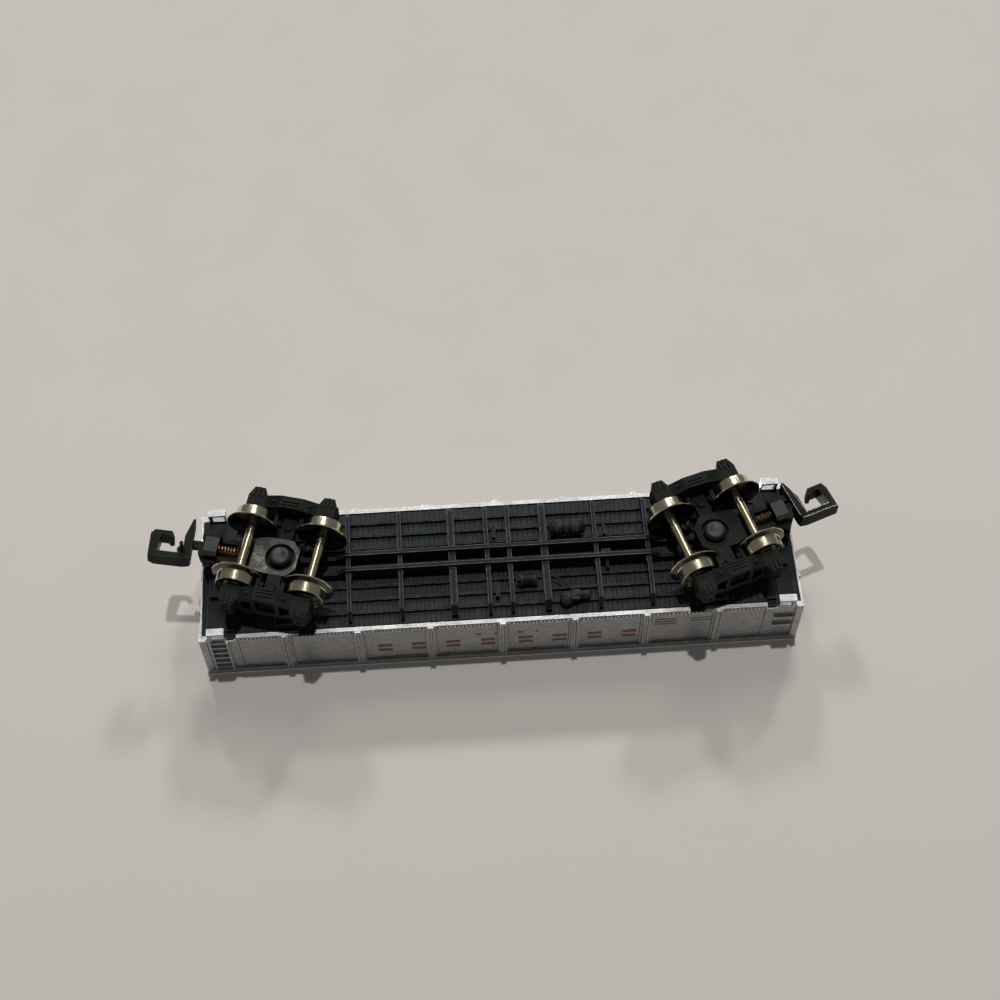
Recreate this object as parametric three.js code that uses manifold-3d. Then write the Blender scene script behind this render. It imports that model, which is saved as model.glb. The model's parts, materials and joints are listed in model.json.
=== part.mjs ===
// Open-top freight car for 9 mm gauge track, scale 1:160.
// Units are millimetres. +Z is up, +X runs along the car, and z = 0 is where the wheel flanges
// touch a flat surface. The two trucks stand turned and the couplers hang as on a car set down by hand.

import * as THREE from 'three';
import { mergeVertices } from 'three/addons/utils/BufferGeometryUtils.js';
import Module from 'manifold-3d';

const wasm = await Module();
wasm.setup();

// ---------------------------------------------------------------- driving dimensions

const RUNNING_GAP = 0.1;          // between pieces that move on each other
const FIT_GAP = 0.03;             // between pieces pressed together
const DEGREE = Math.PI / 180;

const body = {
  halfLength: 41.5,
  wallOuter: 9.45,                // outside face of the side sheets
  wallInner: 8.75,
  skirtInner: 9.0,                // the wall is thinner below the hold floor
  endInner: 40.7,
  halfWidth: 9.9,                 // over the side posts
  sillZ: 8.7,
  rimZ: 19.1,
  floorBottom: 10.2,
  floorTop: 10.9,
};

const post = { pitch: 10, count: 7, width: 0.8, flange: 1.5, flangeDepth: 0.12 };
const topChord = { height: 1.1, depth: 0.35 };
const sideSill = { height: 1.0, depth: 0.1 };
const cornerPost = { width: 0.7, depth: 0.4, endDepth: 0.25 };
const ladder = { from: 37.9, to: 40.6, stile: 0.3, rung: 0.3, rungs: 6, depth: 0.4 };
const endLadder = { y: [-9.2, -6.7], first: 10.0, pitch: 2.1, rungs: 4, depth: 0.5 };
const grabHeights = [11.9, 14.2];
const endRib = {
  uprightY: 4.7, uprightWidth: 0.9, uprightDepth: 0.4,
  heights: [11.4, 14.4], height: 0.8, reach: 6.2, depth: 0.3,
};
const stirrup = { from: 37.9, to: 40.5, drop: 1.8, bar: 0.4, leg: 0.45, width: 1.0 };

const lugs = [
  { x: 27.0, width: 2.0 },
  { x: 37.4, width: 1.3 },
];
const lug = { bottom: 8.9, top: 9.45, reach: 9.4 };

const frame = {
  halfLength: 40.6,
  halfWidth: 8.9,
  plateBottom: 8.95,
  plateTop: 9.5,
  bearerBottom: 6.8,
  bearerReach: 8.4,
  bearerTaper: 0.9,               // the ends of a bearer slope up over this length
  bearerEnd: 7.8,
  stringerBottom: 8.3,
  stringerWidth: 0.35,
  stringerY: [3.0, 5.0, 7.0],
  stringerReach: 36.7,
};
const crossbearers = [
  { x: 1.55, width: 0.55 },
  { x: 6.45, width: 0.95 },
  { x: 13.7, width: 0.55 },
  { x: 20.9, width: 0.55 },
];
const centreSill = {
  y: 1.2, width: 0.55, bottom: 6.3, deepTo: 21.2, shallowFrom: 22.6, shallow: 7.4, reach: 28.7,
};
const brackets = [
  { x: [-15.6, -14.4], y: [-0.5, 0.0], bottom: 6.9 },
  { x: [-15.3, -14.9], y: [-2.7, -1.5], bottom: 7.4 },
  { x: [-15.3, -14.9], y: [2.7, 4.4], bottom: 7.4 },
  { x: [0.2, 0.7], y: [3.3, 5.8], bottom: 7.7 },
  { x: [0.2, 0.7], y: [-6.0, -3.8], bottom: 7.7 },
];
const bolster = { width: 2.4, reach: 8.55, bottom: 7.5, bossRadius: 2.3, bossBottom: 6.0 };
const draftBlock = { from: 37.9, to: 40.3, halfWidth: 3.4, bottom: 8.0 };  // under the floor at each end

const reservoirAt = { x: [-12.4, -7.3], y: 3.9, z: 7.15, radius: 1.15 };
const cylinderAt = { x: [-5.2, -2.2], y: -3.9, z: 7.45, radius: 0.9 };
const valveAt = { x: -9.0, y: -7.05, z: 6.9 };
const pipe = {
  radius: 0.16,
  route: [[-7.1, -3.5, 7.35], [-8.2, -4.1, 7.35], [-9.1, -4.9, 7.35], [-9.5, -5.6, 7.35]],
};

const weight = { halfLength: 36.0, halfWidth: 7.6, bottom: 9.55, top: 10.15 };

const wheel = {
  treadRadius: 2.7, flangeRadius: 3.6, width: 2.1, flange: 0.55, backToBack: 7.6, segments: 26,
  rimFrom: 2.2, dishFrom: 2.1, dishTo: 1.4, hub: 1.3, dish: 0.35,
};
const axle = {
  radius: 0.68, z: wheel.flangeRadius, stub: 0.5, tip: 7.45, tipRadius: 0.1, coneFrom: 6.5,
};
const bush = { radius: 1.15 };

const truck = {
  centre: 30.05,
  halfWheelbase: 4.95,
  swivelA: 14.7,                  // how far the truck at +X is turned, in degrees
  swivelB: -17.1,                 // and the one at -X
  frameInner: 6.3,
  frameOuter: 8.2,
  plateBottom: 3.9,
  plateTop: 5.2,
  bearingTop: 5.9,
  recessRadius: 1.95,
  recessTop: 4.6,
  pinHole: 0.86,
};
const sideFrameHalf = [           // half outline of a side frame as [x, height], from the middle outwards
  [1.6, 1.35], [3.2, 1.85], [3.7, 2.0], [6.1, 2.0], [6.4, 2.3],
  [6.4, 4.45], [5.7, 4.9], [3.7, 5.2], [2.6, 5.75],
];
const sideFrameWindow = [[1.95, 2.35], [3.3, 2.8], [3.3, 4.35], [1.95, 5.05]];
const springWindow = { halfWidth: 1.35, bottom: 2.1, top: 4.7, springX: 0.62, springRadius: 0.5 };
const bearing = { mouth: 0.66, coneFrom: 6.9, seat: 0.25, end: 7.7 };
const plateOutline = [            // the octagonal centre plate, seen from below
  [-2.5, -1.5], [-1.3, -2.8], [2.2, -2.8], [3.9, -2.3],
  [3.9, 2.3], [2.2, 2.8], [-1.3, 2.8], [-2.5, 1.5],
];
const plateArm = { halfWidth: 0.95, bossY: 4.7, bossRadius: 0.62, bossDepth: 0.3 };
const pin = {
  headRadius: 1.5, crownRadius: 1.15, headBottom: 3.2, crownRise: 0.4, shankRadius: 0.77, top: 9.3,
};
const journal = { base: 1.3, tip: 0.75, reach: 9.3, bottom: 2.0, top: 4.7 };
const pocket = {
  from: 5.9, to: 11.2, halfWidth: 1.75, bottom: 3.45, top: 6.1,
  boxFrom: 8.7, railBottom: 4.75,           // the sides are cut away beside the spring
  seatHalfWidth: 0.7, seatBottom: 4.0,
  channelFrom: 6.15, channel: 1.15, roof: 5.55, lip: 0.4, slot: 0.75,
  bridgeFrom: 1.5, bridgeBottom: 4.55,
};
const pocketWing = { from: 8.4, shoulder: 10.1, shoulderY: 3.3, tip: 11.2, tipY: 1.5, bottom: 4.7 };
const cover = { from: 8.8, to: 10.7, thickness: 0.4 };

const coupler = {
  pivotX: 10.4, pivotZ: 4.6,
  tail: -1.55, tailDepth: 0.5, tailHalfWidth: 0.85, tailHalfHeight: 0.35,
  shank: 0.5, height: 2.6,
  back: 1.4, backThickness: 1.15, backFlat: 0.6, backTip: 0.3, backReach: 3.4,
  armOuter: 2.9, arm: 0.85,
  front: 7.2, frontThickness: 1.15, bevel: 0.8,
  hookY: 1.15, hookThickness: 0.65, hookReach: 3.9,
  pegX: 2.75, pegY: -1.55, pegRadius: 0.28, pegLength: 2.0,
  yawA: -8, yawB: -3.5,
  droopA: 9, droopB: 0,
  drawnOutA: 0.7, drawnOutB: 0,   // how far each coupler has slid out of its pocket
};
const spring = { from: 6.2, to: 8.55, radius: 0.5, wire: 0.085, turns: 6, stepsPerTurn: 8, sides: 4 };

// ---------------------------------------------------------------- materials

function paint(colour, roughness, metalness) {
  return new THREE.MeshStandardMaterial({ color: colour, roughness, metalness });
}
const silverPaint = () => paint(0xa3a5a6, 0.45, 0.6);
const blackPlastic = () => paint(0x24292a, 0.6, 0);
const greyPlastic = () => paint(0x3a403f, 0.6, 0);
const platedMetal = () => paint(0xb9ad82, 0.3, 1);
const bareSteel = () => paint(0x77787a, 0.5, 1);
const copperWire = () => paint(0xa8552e, 0.35, 1);
const insulator = () => paint(0x1d1e1f, 0.5, 0);

// ---------------------------------------------------------------- solid modelling helpers

function solid(geometry) {
  geometry.deleteAttribute('normal');
  geometry.deleteAttribute('uv');
  const merged = mergeVertices(geometry, 1e-5);
  const corners = merged.index.array;
  const kept = [];
  for (let i = 0; i < corners.length; i += 3) {
    const [a, b, c] = [corners[i], corners[i + 1], corners[i + 2]];
    if (a !== b && b !== c && c !== a) {
      kept.push(a, b, c);
    }
  }
  return new wasm.Manifold(new wasm.Mesh({
    numProp: 3,
    vertProperties: new Float32Array(merged.attributes.position.array),
    triVerts: new Uint32Array(kept),
  }));
}

function block([x0, x1], [y0, y1], [z0, z1]) {
  const geometry = new THREE.BoxGeometry(x1 - x0, y1 - y0, z1 - z0);
  geometry.translate((x0 + x1) / 2, (y0 + y1) / 2, (z0 + z1) / 2);
  return solid(geometry);
}

// An upright cylinder at (x, y).
function disc(x, y, radius, z0, z1, segments = 24) {
  const geometry = new THREE.CylinderGeometry(radius, radius, z1 - z0, segments);
  geometry.rotateX(Math.PI / 2);
  geometry.translate(x, y, (z0 + z1) / 2);
  return solid(geometry);
}

// A cylinder lying along X.
function barrel([x0, x1], y, z, radius, segments = 16) {
  const geometry = new THREE.CylinderGeometry(radius, radius, x1 - x0, segments);
  geometry.rotateZ(Math.PI / 2);
  geometry.translate((x0 + x1) / 2, y, z);
  return solid(geometry);
}

function outline(points) {
  return new THREE.Shape(points.map(([a, b]) => new THREE.Vector2(a, b)));
}

// A flat outline in X and Y, raised from z0 to z1.
function slab(points, z0, z1) {
  const geometry = new THREE.ExtrudeGeometry(outline(points), { depth: z1 - z0, bevelEnabled: false });
  geometry.translate(0, 0, z0);
  return solid(geometry);
}

// An outline in X and Z, running from y0 to y1.
function wall(points, y0, y1) {
  const geometry = new THREE.ExtrudeGeometry(outline(points), { depth: y1 - y0, bevelEnabled: false });
  geometry.rotateX(Math.PI / 2);
  geometry.translate(0, y1, 0);
  return solid(geometry);
}

// A solid of revolution about Y, from a profile of [radius, y].
function turned(profile, segments) {
  return solid(new THREE.LatheGeometry(outline(profile).getPoints(), segments));
}

function joined(solids) {
  return solids.reduce((sum, next) => sum.add(next));
}

function cutBy(base, cutters) {
  return cutters.reduce((rest, cutter) => rest.subtract(cutter), base);
}

// The same solid turned half a turn about Z, as the other end of the car.
function halfTurn(piece) {
  return piece.rotate([0, 0, 180]);
}

function bothEnds(piece) {
  return [piece, halfTurn(piece)];
}

function meshOf(name, piece, material) {
  const { vertProperties, triVerts } = piece.getMesh();
  const geometry = new THREE.BufferGeometry();
  geometry.setAttribute('position', new THREE.BufferAttribute(new Float32Array(vertProperties), 3));
  geometry.setIndex(new THREE.BufferAttribute(new Uint32Array(triVerts), 1));
  const faceted = geometry.toNonIndexed();
  faceted.computeVertexNormals();
  const mesh = new THREE.Mesh(faceted, material);
  mesh.name = name;
  return mesh;
}

// ---------------------------------------------------------------- body shell

function sidePost(x, side) {
  const bottom = body.sillZ;
  const top = body.rimZ - topChord.height / 2;
  const root = side * (body.wallOuter - 0.2);
  const flangeFace = side * (body.wallOuter + post.flangeDepth);
  const face = side * body.halfWidth;
  const flange = block(
    [x - post.flange / 2, x + post.flange / 2],
    [Math.min(root, flangeFace), Math.max(root, flangeFace)],
    [bottom, top],
  );
  const rib = block(
    [x - post.width / 2, x + post.width / 2],
    [Math.min(root, face), Math.max(root, face)],
    [bottom, top],
  );
  return flange.add(rib);
}

function band(grow, z0, z1) {
  const outer = block(
    [-body.halfLength - grow, body.halfLength + grow],
    [-body.wallOuter - grow, body.wallOuter + grow],
    [z0, z1],
  );
  const inner = block(
    [-body.endInner, body.endInner],
    [-body.wallInner, body.wallInner],
    [z0 - 1, z1 + 1],
  );
  return outer.subtract(inner);
}

// One side ladder, on the -Y side at the +X end.
function sideLadder() {
  const outer = -body.wallOuter - ladder.depth;
  const root = -body.wallOuter + 0.1;
  const bottom = body.sillZ + 0.3;
  const top = body.rimZ - topChord.height / 2;
  const pieces = [ladder.from, ladder.to - ladder.stile].map((x) => (
    block([x, x + ladder.stile], [outer, root], [bottom, top])
  ));
  const pitch = (top - bottom - 0.6) / ladder.rungs;
  for (let i = 0; i < ladder.rungs; i += 1) {
    const z = bottom + 0.5 + i * pitch;
    pieces.push(block([ladder.from, ladder.to], [outer, root], [z, z + ladder.rung]));
  }
  return joined(pieces);
}

// Rungs on the end of the car, round the corner from the side ladder.
function endRungs() {
  const root = body.halfLength - 0.1;
  const outer = body.halfLength + endLadder.depth;
  const pieces = [];
  for (let i = 0; i < endLadder.rungs; i += 1) {
    const z = endLadder.first + i * endLadder.pitch;
    pieces.push(block([root, outer], endLadder.y, [z, z + ladder.rung]));
  }
  return pieces;
}

// The hand grabs at the end of a side that has no ladder.
function sideGrabs() {
  const outer = -body.wallOuter - ladder.depth;
  const root = -body.wallOuter + 0.1;
  return grabHeights.map((z) => (
    block([-ladder.to, -ladder.from], [outer, root], [z, z + ladder.rung])
  ));
}

// A stirrup step under each corner.
function stirrupStep(end, side) {
  const z0 = body.sillZ - stirrup.drop;
  const near = side * (body.wallOuter + 0.4 - stirrup.width);
  const far = side * (body.wallOuter + 0.4);
  const y = [Math.min(near, far), Math.max(near, far)];
  const x0 = Math.min(end * stirrup.from, end * stirrup.to);
  const x1 = Math.max(end * stirrup.from, end * stirrup.to);
  return joined([
    block([x0, x1], y, [z0, z0 + stirrup.bar]),
    block([x0, x0 + stirrup.leg], y, [z0, body.sillZ + 0.3]),
    block([x1 - stirrup.leg, x1], y, [z0, body.sillZ + 0.3]),
  ]);
}

// Two upright posts and two cross ribs stiffen each end sheet.
function endRibs() {
  const root = body.halfLength - 0.1;
  const half = endRib.uprightWidth / 2;
  const top = body.rimZ - topChord.height / 2;
  const uprights = [-endRib.uprightY, endRib.uprightY].map((y) => (
    block([root, body.halfLength + endRib.uprightDepth], [y - half, y + half], [body.sillZ, top])
  ));
  const ribs = endRib.heights.map((z) => (
    block([root, body.halfLength + endRib.depth], [-endRib.reach, endRib.reach], [z, z + endRib.height])
  ));
  return [...uprights, ...ribs];
}

function cornerPosts() {
  const pieces = [];
  for (const side of [-1, 1]) {
    const face = side * (body.wallOuter + cornerPost.depth);
    const root = side * (body.wallOuter - 0.3);
    const y = [Math.min(face, root), Math.max(face, root)];
    const x = [body.halfLength - cornerPost.width, body.halfLength + cornerPost.endDepth];
    pieces.push(block(x, y, [body.sillZ, body.rimZ]));
  }
  return pieces;
}

function lugNotches() {
  const notches = [];
  for (const end of [-1, 1]) {
    for (const { x, width } of lugs) {
      const half = width / 2 + RUNNING_GAP;
      const across = [-2 * body.halfWidth, 2 * body.halfWidth];
      const up = [lug.bottom - 2, lug.top + RUNNING_GAP];
      notches.push(block([end * x - half, end * x + half], across, up));
    }
  }
  return notches;
}

function bodyShell() {
  const outer = block(
    [-body.halfLength, body.halfLength],
    [-body.wallOuter, body.wallOuter],
    [body.sillZ, body.rimZ],
  );
  const hold = block(
    [-body.endInner, body.endInner],
    [-body.wallInner, body.wallInner],
    [body.floorTop, body.rimZ + 1],
  );
  const underside = block(
    [-body.endInner, body.endInner],
    [-body.skirtInner, body.skirtInner],
    [body.sillZ - 1, body.floorBottom],
  );
  const box = cutBy(outer, [hold]);
  const trim = [
    band(topChord.depth, body.rimZ - topChord.height, body.rimZ),
    band(sideSill.depth, body.sillZ, body.sillZ + sideSill.height),
  ];
  for (const side of [-1, 1]) {
    for (let i = 0; i < post.count; i += 1) {
      trim.push(sidePost((i - (post.count - 1) / 2) * post.pitch, side));
    }
  }
  const endTrim = [sideLadder(), ...endRungs(), ...sideGrabs(), ...endRibs(), ...cornerPosts()];
  endTrim.forEach((piece) => trim.push(...bothEnds(piece)));
  const steps = [];
  for (const end of [-1, 1]) {
    for (const side of [-1, 1]) {
      steps.push(stirrupStep(end, side));
    }
  }
  return cutBy(joined([box, ...trim, ...steps]), [underside, ...lugNotches()]);
}

// ---------------------------------------------------------------- underframe

function centreSills() {
  const profile = [
    [-centreSill.deepTo, centreSill.bottom],
    [centreSill.deepTo, centreSill.bottom],
    [centreSill.shallowFrom, centreSill.shallow],
    [centreSill.reach, centreSill.shallow],
    [centreSill.reach, frame.plateBottom + 0.1],
    [-centreSill.reach, frame.plateBottom + 0.1],
    [-centreSill.reach, centreSill.shallow],
    [-centreSill.shallowFrom, centreSill.shallow],
  ];
  return [-1, 1].map((side) => {
    const y = side * centreSill.y;
    return wall(profile, y - centreSill.width / 2, y + centreSill.width / 2);
  });
}

// A bearer across the car, whose ends slope up to the side sills.
function crossbearer(x, width) {
  const top = frame.plateBottom + 0.1;
  const reach = frame.bearerReach;
  const flat = reach - frame.bearerTaper;
  const profile = [
    [-flat, frame.bearerBottom], [flat, frame.bearerBottom], [reach, frame.bearerEnd],
    [reach, top], [-reach, top], [-reach, frame.bearerEnd],
  ];
  return wall(profile, -width / 2, width / 2).rotate([0, 0, 90]).translate([x, 0, 0]);
}

function crossMembers() {
  const top = frame.plateBottom + 0.1;
  const beams = [
    { x: truck.centre, width: bolster.width, bottom: bolster.bottom },
    { x: lugs[1].x, width: lugs[1].width, bottom: frame.stringerBottom },
  ];
  const pieces = [];
  for (const end of [-1, 1]) {
    crossbearers.forEach(({ x, width }) => pieces.push(crossbearer(end * x, width)));
    for (const { x, width, bottom } of beams) {
      const along = [end * x - width / 2, end * x + width / 2];
      pieces.push(block(along, [-bolster.reach, bolster.reach], [bottom, top]));
    }
  }
  return pieces;
}

function stringers() {
  const half = frame.stringerWidth / 2;
  const reach = frame.stringerReach;
  return frame.stringerY.flatMap((y) => [-y, y]).map((y) => (
    block([-reach, reach], [y - half, y + half], [frame.stringerBottom, frame.plateBottom + 0.1])
  ));
}

function clipLugs() {
  const pieces = [];
  for (const end of [-1, 1]) {
    for (const { x, width } of lugs) {
      const middle = end * x;
      pieces.push(block(
        [middle - width / 2, middle + width / 2],
        [-lug.reach, lug.reach],
        [frame.plateBottom, lug.top],
      ));
    }
  }
  return pieces;
}

// The block that holds the floor stiff above each coupler.
function endBlock() {
  const half = draftBlock.halfWidth;
  const top = frame.plateBottom + 0.1;
  return block([draftBlock.from, draftBlock.to], [-half, half], [draftBlock.bottom, top]);
}

// Lever guides and hangers of the brake rigging, as small blocks under the floor.
function riggingBrackets() {
  return brackets.map(({ x, y, bottom }) => block(x, y, [bottom, frame.plateBottom + 0.1]));
}

function underframe() {
  const plate = block(
    [-frame.halfLength, frame.halfLength],
    [-frame.halfWidth, frame.halfWidth],
    [frame.plateBottom, frame.plateTop],
  );
  const bosses = [-1, 1].map((end) => (
    disc(end * truck.centre, 0, bolster.bossRadius, bolster.bossBottom, frame.plateBottom + 0.1)
  ));
  const pinHoles = [-1, 1].map((end) => (
    disc(end * truck.centre, 0, pin.shankRadius + FIT_GAP, bolster.bossBottom - 1, pin.top + FIT_GAP, 20)
  ));
  const whole = joined([
    plate,
    ...crossMembers(),
    ...stringers(),
    ...centreSills(),
    ...clipLugs(),
    ...bothEnds(endBlock()),
    ...bosses,
    ...riggingBrackets(),
  ]);
  return cutBy(whole, pinHoles);
}

function ballastWeight() {
  return block(
    [-weight.halfLength, weight.halfLength],
    [-weight.halfWidth, weight.halfWidth],
    [weight.bottom, weight.top],
  );
}

// ---------------------------------------------------------------- brake gear

function airReservoir() {
  const { x, y, z, radius } = reservoirAt;
  const middle = (x[0] + x[1]) / 2;
  const ribs = [-1.4, -0.9, 0, 0.9, 1.4].map((offset) => (
    barrel([middle + offset - 0.12, middle + offset + 0.12], y, z, radius)
  ));
  return joined([
    barrel(x, y, z, radius - 0.2),
    barrel([x[0] + 0.5, x[1] - 0.5], y, z, radius - 0.1),
    ...ribs,
  ]);
}

function brakeCylinder() {
  const { x, y, z, radius } = cylinderAt;
  return joined([
    barrel([x[0] + 0.2, x[1] - 0.6], y, z, radius - 0.12),
    barrel([x[0] + 0.2, x[0] + 0.5], y, z, radius),
    barrel([x[1] - 0.8, x[1] - 0.5], y, z, radius),
    barrel([x[1] - 0.9, x[1]], y, z, 0.35, 12),
  ]);
}

function controlValve() {
  const { x, y, z } = valveAt;
  return joined([
    disc(x, y, 0.95, z, frame.stringerBottom - 0.1, 20),
    barrel([x - 3.4, x - 0.2], y + 0.35, z + 0.55, 0.6, 14),
    block([x - 1.9, x - 0.6], [y - 0.5, y + 1.1], [z + 0.1, z + 1.0]),
  ]);
}

// A thin pipe that runs from the second crossbearer to the control valve.
function brakePipe() {
  const route = new THREE.CatmullRomCurve3(pipe.route.map((point) => new THREE.Vector3(...point)));
  const section = new THREE.Shape();
  section.absarc(0, 0, pipe.radius, 0, 2 * Math.PI);
  return solid(new THREE.ExtrudeGeometry(section, {
    extrudePath: route, steps: 9, curveSegments: 8, bevelEnabled: false,
  }));
}

// ---------------------------------------------------------------- trucks, in a frame with +X outwards

function sideFrame(side) {
  const mirrored = [...sideFrameHalf].reverse().map(([x, height]) => [-x, height]);
  const inner = side > 0 ? truck.frameInner : -truck.frameOuter;
  const outer = side > 0 ? truck.frameOuter : -truck.frameInner;
  const plate = wall([...sideFrameHalf, ...mirrored], inner, outer);
  const windows = [-1, 1].map((hand) => {
    const window = sideFrameWindow.map(([x, height]) => [hand * x, height]);
    return wall(hand > 0 ? window : window.reverse(), inner - 1, outer + 1);
  });
  const { halfWidth, bottom, top, springX, springRadius } = springWindow;
  const opening = block([-halfWidth, halfWidth], [inner - 1, outer + 1], [bottom, top]);
  const springs = [-springX, springX].map((x) => (
    disc(x, (inner + outer) / 2, springRadius, bottom - 0.1, top + 0.1, 12)
  ));
  return joined([cutBy(plate, [...windows, opening]), ...springs]);
}

// A bearing box that tapers outwards, with its conical bearing cut from the inside.
function journalBox(x, side) {
  const root = side * (truck.frameOuter - 0.1);
  const tip = side * journal.reach;
  const points = [
    [x - journal.base, root], [x + journal.base, root],
    [x + journal.tip, tip], [x - journal.tip, tip],
  ];
  return slab(side > 0 ? points : points.reverse(), journal.bottom, journal.top);
}

function bearingCup(x, side) {
  const start = truck.frameInner - 1;
  const profile = [
    [0, start], [bearing.mouth, start], [bearing.mouth, bearing.coneFrom],
    [bearing.seat, bearing.end], [0, bearing.end],
  ];
  const cup = turned(profile, 20).translate([x, 0, axle.z]);
  return side > 0 ? cup : cup.mirror([0, 1, 0]);
}

function centrePlate() {
  const armReach = truck.frameInner + 0.2;
  const { halfWidth, bossY, bossRadius, bossDepth } = plateArm;
  const arms = block([-halfWidth, halfWidth], [-armReach, armReach], [truck.plateBottom, truck.plateTop]);
  const bosses = [-bossY, bossY].map((y) => (
    disc(0, y, bossRadius, truck.plateBottom - bossDepth, truck.plateBottom + 0.1, 16)
  ));
  return joined([
    slab(plateOutline, truck.plateBottom, truck.plateTop),
    disc(0, 0, bolster.bossRadius, truck.plateTop - 0.1, truck.bearingTop),
    arms,
    ...bosses,
  ]);
}

function couplerPocket() {
  const reach = pocket.halfWidth;
  const box = block([pocket.boxFrom, pocket.to], [-reach, reach], [pocket.bottom, pocket.top]);
  const rails = block([pocket.from, pocket.boxFrom + 0.1], [-reach, reach], [pocket.railBottom, pocket.top]);
  const bridge = block(
    [pocket.bridgeFrom, pocket.from + 0.2],
    [-reach, reach],
    [pocket.bridgeBottom, truck.bearingTop],
  );
  const seat = block(
    [pocket.from, pocket.channelFrom],
    [-pocket.seatHalfWidth, pocket.seatHalfWidth],
    [pocket.seatBottom, pocket.roof],
  );
  const w = pocketWing;
  const wings = slab([
    [w.from, -reach + 0.1], [w.shoulder, -w.shoulderY], [w.tip, -w.tipY],
    [w.tip, w.tipY], [w.shoulder, w.shoulderY], [w.from, reach - 0.1],
  ], w.bottom, pocket.top);
  const channel = block(
    [pocket.channelFrom, pocket.to - pocket.lip],
    [-pocket.channel, pocket.channel],
    [pocket.bottom - 1, pocket.roof],
  );
  const slot = block(
    [pocket.to - 1, pocket.to + 1],
    [-pocket.slot, pocket.slot],
    [pocket.bottom - 1, pocket.roof],
  );
  return cutBy(joined([bridge, box, rails, seat, wings]), [channel, slot]);
}

function truckFrame() {
  const whole = [centrePlate(), couplerPocket()];
  const cups = [];
  for (const side of [-1, 1]) {
    whole.push(sideFrame(side));
    for (const x of [-truck.halfWheelbase, truck.halfWheelbase]) {
      whole.push(journalBox(x, side));
      cups.push(bearingCup(x, side));
    }
  }
  return cutBy(joined(whole), [
    disc(0, 0, truck.recessRadius, truck.plateBottom - 1, truck.recessTop),
    disc(0, 0, truck.pinHole, 0, truck.bearingTop + 1, 20),
    ...cups,
  ]);
}

// A push pin with a domed head that holds the truck to the underframe.
function truckPin() {
  const { headRadius, crownRadius, headBottom, crownRise, shankRadius, top } = pin;
  const headTop = truck.recessTop - RUNNING_GAP;
  const profile = [
    [0, headBottom], [crownRadius, headBottom], [headRadius - 0.08, headBottom + crownRise - 0.15],
    [headRadius, headBottom + crownRise], [headRadius, headTop], [shankRadius, headTop],
    [shankRadius, top - 0.4], [shankRadius - 0.3, top], [0, top],
  ];
  return turned(profile, 18).rotate([90, 0, 0]);
}

function pocketCover() {
  const half = pocket.channel - 0.05;
  return block([cover.from, cover.to], [-half, half], [pocket.bottom, pocket.bottom + cover.thickness]);
}

// ---------------------------------------------------------------- wheelsets, about Y through the origin

function wheelSolid(side, bore) {
  const back = wheel.backToBack / 2;
  const rim = wheel.treadRadius;
  const flangeEnd = back + wheel.flange;
  const face = back + wheel.width;
  const profile = [
    [bore, back], [wheel.flangeRadius - 0.1, back], [wheel.flangeRadius, back + 0.2],
    [rim + 0.12, flangeEnd], [rim, flangeEnd + 0.12], [rim - 0.06, face],
    [wheel.rimFrom, face], [wheel.dishFrom, face - wheel.dish],
    [wheel.dishTo, face - wheel.dish], [wheel.hub, face], [bore, face],
  ];
  const shape = turned([...profile, profile[0]], wheel.segments);
  return side > 0 ? shape : shape.mirror([0, 1, 0]);
}

function bushSolid() {
  const back = wheel.backToBack / 2;
  const profile = [
    [axle.radius + FIT_GAP, back], [bush.radius, back],
    [bush.radius, back + wheel.width], [axle.radius + FIT_GAP, back + wheel.width],
    [axle.radius + FIT_GAP, back],
  ];
  return turned(profile, 16);
}

function axleSolid() {
  const shoulder = wheel.backToBack / 2 + wheel.width + 0.2;
  const half = [
    [axle.radius, shoulder], [axle.stub, shoulder], [axle.stub, axle.coneFrom],
    [axle.tipRadius, axle.tip], [0, axle.tip],
  ];
  const mirrored = [...half].reverse().map(([radius, y]) => [radius, -y]);
  return turned([...mirrored, ...half], 16);
}

// ---------------------------------------------------------------- coupler, about its pivot

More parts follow.
